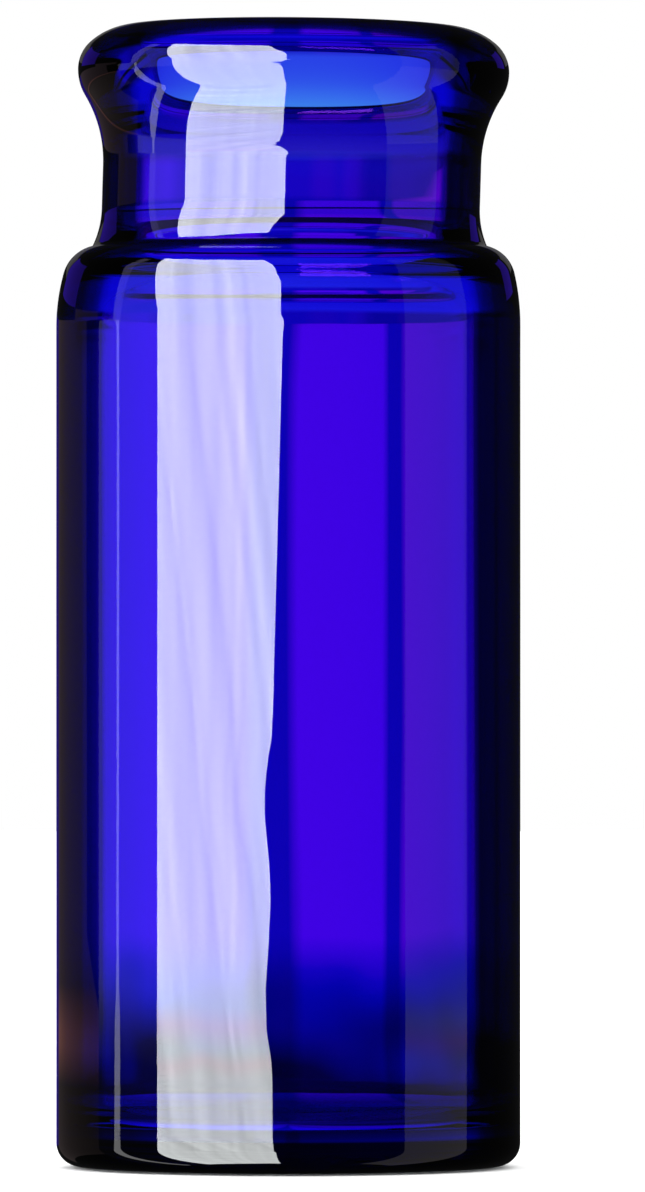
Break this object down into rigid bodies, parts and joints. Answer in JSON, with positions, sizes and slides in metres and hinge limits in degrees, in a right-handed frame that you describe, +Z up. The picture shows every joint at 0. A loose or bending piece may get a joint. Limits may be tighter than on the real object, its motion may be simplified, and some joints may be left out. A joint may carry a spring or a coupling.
{
  "type": "glass bottle",
  "caption": "Small straight-sided cobalt-blue glass bottle with a thick wall, rounded shoulder, short waisted neck, flared rounded lip and open mouth.",
  "frame": {"origin": "centre of the base, on the plane of the ring that the bottle stands on", "axes": "+Z up the bottle's axis, out of the mouth; X and Y are alike, because the bottle is turned about Z"},
  "size_m": [0.028, 0.028, 0.0687],
  "materials": {
    "cobalt_glass": "fire-polished, clear deep cobalt blue"
  },
  "bodies": {
    "root": {"glass_bottle": "cobalt_glass"}
  },
  "joints": []
}
